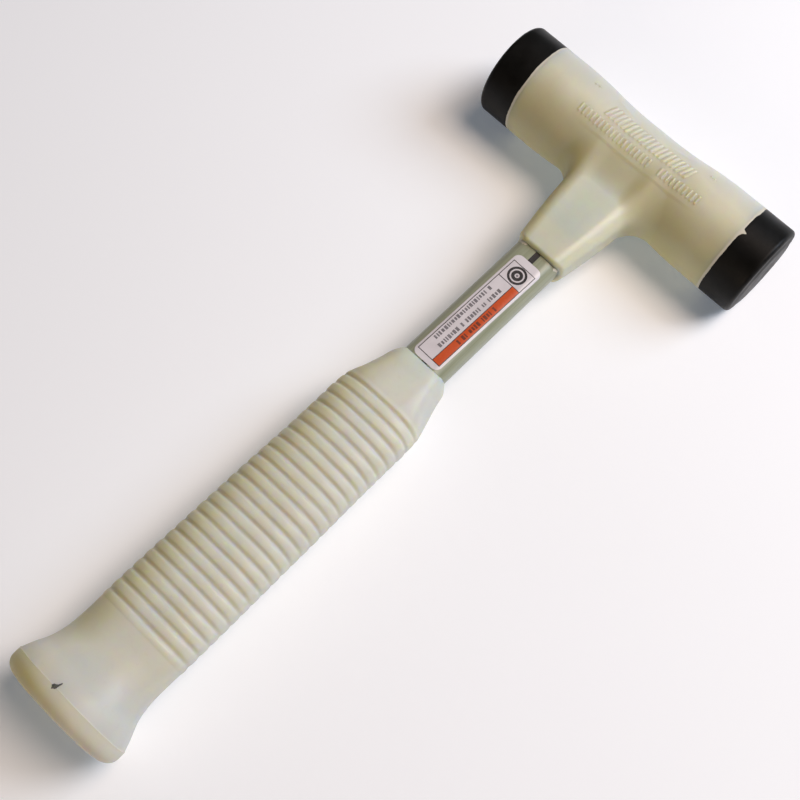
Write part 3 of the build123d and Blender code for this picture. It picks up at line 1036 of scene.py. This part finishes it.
def oval_ring(half_w, half_t, power, flat, around):
    """Outline between a flat-fronted hexagon and an oval, points spread evenly by angle."""
    angle = np.arange(around) * 2 * math.pi / around
    flat = min(flat, 1.0)
    c, s = np.abs(np.cos(angle)), np.sqrt(np.sin(angle) ** 2 + 0.0004)
    side = (half_t * c + half_w * (1 - flat) * s) / (half_w * half_t)
    r = ((s / half_t) ** power + side ** power) ** (-1 / power)
    r = r * np.minimum(1, half_t / np.max(r * np.abs(np.sin(angle))))
    r = r * np.minimum(1, half_w / np.max(r * c))
    return r * np.cos(angle), r * np.sin(angle)


def rib_stations():
    """Stations along the ribbed stretch, close together in the grooves."""
    stations = []
    for i in range(GROOVES):
        middle = GROOVE_FIRST + i * GROOVE_PITCH
        stations += list(middle + np.array(GROOVE_SAMPLES))
        stations += list(middle + GROOVE_PITCH / 2 + np.array((-0.45, 0.45)))
    return stations


def groove_depth_at(station, angle):
    """Depth of the grooves, and how deep a point sits in one from 0 to 1."""
    i = np.round((station - GROOVE_FIRST) / GROOVE_PITCH)
    inside = (i >= 0) & (i < GROOVES)
    wander = 0.07 * ripple(1.3 * np.cos(angle), 1.3 * np.sin(angle), i * 1.7, seed=31)
    u = (station - GROOVE_FIRST - i * GROOVE_PITCH - wander) / GROOVE_REACH
    shape = np.exp(-0.9 * u ** 2)
    deep = 1 + 0.06 * ripple(2 * np.cos(angle), 2 * np.sin(angle), i * 2.3, seed=37)
    front = smooth(np.abs(np.sin(angle)) / GROOVE_SIDE_FADE)
    deep = deep * (GROOVE_SIDE_SHARE + (1 - GROOVE_SIDE_SHARE) * front)
    return np.where(inside, GROOVE_DEPTH * deep * shape, 0), np.where(inside, shape * smooth(1 - u), 0)


def dome_section(t):
    """Station, half width and half thickness of the butt's dome, from its crease at 0 to its end at 3."""
    table = np.array(((CREASE, BUTT_HALF_W, AXIS_Z), *BUTT_CORNER, (BUTT, *BUTT_END)))
    return [float(smooth_interp(np.array([t]), (0, 1, 2, 3), table[:, k])[0]) for k in range(3)]


def add_grip():
    """Overmoulded grip: tapered shoulder, rounded ribs, concave flare, crease and domed butt."""
    sections = np.array(grip_sections(), float)
    stations = sections[:, 0]
    last_rib = GROOVE_FIRST + (GROOVES - 1) * GROOVE_PITCH
    outer = [*np.linspace(GRIP_TOP, 121.5, 9), *np.linspace(122.2, GROOVE_FIRST - 1.7, 34)]
    outer += rib_stations()
    outer += [*np.linspace(last_rib + 3.3, RIB_ZONE_END + 1.5, 8)]
    outer += [*np.linspace(RIB_ZONE_END + 2.2, CREASE - 0.6, 44)]
    outer += [CREASE - 0.35, CREASE - 0.15, CREASE]
    rings, recess = [], []
    angle = np.arange(AROUND) * 2 * math.pi / AROUND

    pocket = rounded_rect(CORE_HALF_W, CORE_HALF_T, CORE_CORNER, AROUND // 8, AROUND // 8)
    pocket_angle = np.arctan2(pocket[:, 1] / CORE_HALF_T, pocket[:, 0] / CORE_HALF_W)
    order = np.argsort(np.mod(pocket_angle, 2 * math.pi))
    pocket = pocket[order]

    def add_ring(station, x, z, value):
        rings.append(ring_at(station, x, z))
        recess.append(np.full(AROUND, value, float))

    def scallop(z):
        return SHOULDER_MOUTH_R - np.sqrt(SHOULDER_MOUTH_R ** 2 - np.minimum(np.abs(z), 12) ** 2)

    for s in np.linspace(CORE_END, GRIP_TOP + 1, 12):
        add_ring(s, *pocket.T, 1)
    add_ring(GRIP_TOP + scallop(pocket[:, 1]), *pocket.T, 1)

    for s in sorted(outer):
        half_w, half_t, power, flat = (smooth_interp(np.array([s]), stations, sections[:, k])[0]
                                       for k in (1, 2, 3, 4))
        x, z = oval_ring(half_w, half_t, power, flat, AROUND)
        depth, deep = groove_depth_at(np.full(AROUND, s), angle)
        proud = RIB_PROUD * smooth((s - 139.6) / 1.2) * (1 - smooth((s - (RIB_ZONE_END - 0.9)) / 1.2))
        out = proud - RIB_PROUD - depth
        length = np.hypot(x / half_w ** 2, z / half_t ** 2)
        nx, nz = x / half_w ** 2 / length, z / half_t ** 2 / length
        hold = smooth((s - GRIP_TOP) / 15)
        x, z = x + out * nx * hold, z + out * nz * hold
        mouth = scallop(z) * (1 - smooth((s - GRIP_TOP) / 14))
        # The grooves' recess value goes into the ring; the material darkens it as dirt and painted shade.
        add_ring(s + mouth, x, z, deep)

    for t in DOME_STEPS:
        s, half_w, half_t = dome_section(t)
        x, z = oval_ring(half_w, half_t, BUTT_POWER, 1.0, AROUND)
        # The crease ring and the dome get recess values that darken them, more towards the butt's end:
        # painted shade along the crease and on the end that turns away from the light.
        add_ring(s, x, z, 0.5 * (t < 0.1) + 0.35 * min(t / 3, 1))
    for share in END_SHARES:
        x, z = oval_ring(BUTT_END[0] * share, BUTT_END[1] * share, BUTT_POWER, 1.0, AROUND)
        add_ring(BUTT, x, z, 0)
    points, faces = skin(rings, (0, -CORE_END, 0), (0, -BUTT, 0))
    grip = add_piece("grip_cover", points, faces, grip_coat, "cream_grip", 50)
    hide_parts("grip")
    add_values(grip, "recess", np.concatenate([[1.0], np.concatenate(recess), [0.0]]))
    # Painted light and shade: the flare, which faces the key lamp, gets the pale cool painted light, and
    # the shoulder's right facet gets a painted highlight; the domed end gets the olive painted shade,
    # stronger on the left; the left side is shaded and the right side lit; the ripple adds a faint random
    # tone.
    station = -points[:, 1]
    painted_flare_light = smooth((station - 264) / 12) * smooth((CREASE + 0.1 - station) / 0.3)
    painted_dome_shade = smooth((station - CREASE) / 6)
    wander = 0.08 * ripple(*(points.T / 14), seed=53)
    side = 0.62 * smooth(-points[:, 0] / 16) - 0.26 * smooth(points[:, 0] / 16)
    side = side - 0.41 * smooth((points[:, 0] - 5) / 4) * smooth((142 - station) / 4)
    tone = painted_dome_shade * (0.55 - points[:, 0] / 40) - 0.45 * painted_flare_light + side + wander
    add_values(grip, "tone", np.clip(tone, -1, 1))


def butt_front(x, station):
    """Height of the butt's front near its crease."""
    before = smooth_interp(station, [s[0] for s in FLARE] + [CREASE], [s[2] for s in FLARE] + [AXIS_Z])
    after = np.interp(station, (CREASE, BUTT_CORNER[0][0]), (AXIS_Z, BUTT_CORNER[0][2]))
    half_t = np.where(station < CREASE, before, after)
    return half_t * (1 - np.abs(x / BUTT_HALF_W) ** BUTT_POWER) ** (1 / BUTT_POWER)


def add_gate_mark():
    """Torn stub left by the mould's gate on the butt's crease, coloured dark and patchy."""
    outline = np.array(GATE_OUTLINE)
    ragged = 1 + 0.08 * ripple(outline[:, 0] * 3, outline[:, 1] * 3, seed=9)
    outline = outline * ragged[:, None]
    share = np.array(GATE_SHARES)[:, None]
    x = GATE_PLACE[0] + share * outline[None, :, 0]
    station = GATE_PLACE[1] + share * outline[None, :, 1]
    rise = np.array(GATE_RISES)[:, None]
    front = butt_front(x, station)
    top = np.stack([x, -station, front + rise], axis=2)
    bottom = np.stack([x, -station, front - 0.3], axis=2)
    add_piece("gate_mark", *thin_shell(top, bottom, True), dark_patch_coat, "cream_grip", 60)


# ---- inner pieces
def coat_inner_nodes():
    """Gives the CAD pieces that stay their own materials."""
    plain = steel("drawn_steel", (0.40, 0.40, 0.41), (0.28, 0.27, 0.26), (0.28, 0.45), (0.05, 1, 1))
    zinc = steel("zinc_plate", (0.62, 0.62, 0.58), (0.50, 0.49, 0.44), (0.22, 0.38), (1, 1, 1))
    weld = steel("weld_steel", (0.22, 0.20, 0.18), (0.10, 0.08, 0.07), (0.40, 0.62), (1, 1, 1))
    shot = steel("shot_steel", (0.36, 0.36, 0.37), (0.22, 0.21, 0.20), (0.30, 0.5), (1, 1, 1))
    plain_nodes = ("shot_canister", "canister_cap_left", "canister_cap_right", "handle_socket")
    coats = dict.fromkeys(plain_nodes, plain)
    coats.update(dict.fromkeys(("anchor_stud_left", "anchor_stud_right"), zinc))
    coats.update(socket_weld=weld, shot_charge=shot, core_bond=epoxy_resin(), tracer_strip=tracer_yarn())
    for name, coat in coats.items():
        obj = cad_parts[name]
        obj.data.materials.clear()
        obj.data.materials.append(coat)


add_casing()
for side in (-1, 1):
    add_tip(side)
    add_seam_flash(side)
add_core()
add_film()
add_print()
add_grip()
add_gate_mark()
for span, reach, seed in MOUTH_FLASHES:
    add_mouth_flash(span, reach, seed)
coat_inner_nodes()


# ---- studio
CAMERA_PLACE = (95.88, -256.60, 389.68)
CAMERA_TURNS = (15.47, 10.66, 42.85)
CAMERA_LENS = 52.43
CAMERA_SHIFT = (-0.0074, 0.0734)
FLOOR_HALF = 6.0
# The floor's near glow is painted light that lifts and cools the shadows round the object.
FLOOR_GLOW = (0.66, 0.81, 1.0)
FAR_GLOW = (0.97, 0.98, 1.0)
WORLD_SEEN = 0.80
WORLD_LIGHTING = 0.03
LIGHT_SIZE = 0.7
# Each light: its name, place in metres from the object's middle, power in watts and colour
LIGHTS = (
    ("key", (0.55, 0.85, 0.80), 9.5, (0.68, 0.81, 1.0)),
    ("top", (0.35, 0.45, 1.15), 10.4, (1.0, 0.82, 0.70)),
    ("front", (0.10, -1.15, 0.45), 2.4, (1.0, 0.79, 0.60)),
)


def add_floor():
    """Pale floor that glows more with distance, as a lit studio sweep does; its faint cool glow near the
    object is painted light that lifts and cools the shadows there.
    """
    made, tree = new_material("pale_floor")
    place = object_coords(tree)
    cloud = mottle(tree, place, (3, 2), (0.3, 0.7))
    colour = blend_colour(tree, cloud, (0.90, 0.90, 0.89), (0.92, 0.92, 0.915))
    distance = node(tree, "ShaderNodeVectorMath", {0: place}, operation="LENGTH").outputs["Value"]
    far = spread(tree, distance, 0.7, 3.0)
    glow = blend_colour(tree, far, FLOOR_GLOW, FAR_GLOW)
    strength = spread(tree, far, 0.0, 1.0, 0.15, 0.76)
    close_material(
        tree, Base_Color=colour, Roughness=0.9, Emission_Color=glow, Emission_Strength=strength,
    )
    mesh = bpy.data.meshes.new("floor")
    signs = ((-1, -1), (1, -1), (1, 1), (-1, 1))
    mesh.from_pydata([(x * FLOOR_HALF, y * FLOOR_HALF, 0) for x, y in signs], [], [(0, 1, 2, 3)])
    mesh.materials.append(made)
    floor = add_object("floor", mesh)


def add_camera():
    """Camera at the photo's viewing angle, placed in the tool frame."""
    data = bpy.data.cameras.new("camera")
    data.lens = CAMERA_LENS
    data.sensor_width = 36.0
    data.shift_x, data.shift_y = CAMERA_SHIFT
    data.clip_start = 0.01
    camera = add_object("camera", data)
    turns = [Matrix.Rotation(math.radians(t), 4, axis) for t, axis in zip(CAMERA_TURNS, "XYZ")]
    camera.matrix_world = Matrix.Translation(to_row(CAMERA_PLACE)) @ turns[0] @ turns[1] @ turns[2]
    bpy.context.scene.camera = camera


def add_light(name, place, power, colour):
    """Round soft light that looks at the object."""
    data = bpy.data.lights.new(name, "AREA")
    data.shape = "DISK"
    data.size = LIGHT_SIZE
    data.energy = power
    data.color = colour
    light = add_object(name, data)
    light.location = place
    light.rotation_mode = "QUATERNION"
    light.rotation_quaternion = (-Vector(place)).to_track_quat("-Z", "Y")


def add_world():
    """Pale studio surround that the camera sees brighter than it lights the object."""
    world = bpy.data.worlds.new("studio")
    world.use_nodes = True
    tree = world.node_tree
    tree.nodes["Background"].inputs["Color"].default_value = rgba(FAR_GLOW)
    camera_ray = node(tree, "ShaderNodeLightPath").outputs["Is Camera Ray"]
    strength = spread(tree, camera_ray, 0.0, 1.0, WORLD_LIGHTING, WORLD_SEEN)
    tree.links.new(strength, tree.nodes["Background"].inputs["Strength"])
    bpy.context.scene.world = world


add_floor()
add_camera()
for light in LIGHTS:
    add_light(*light)
add_world()
bpy.context.scene.view_settings.view_transform = "Standard"
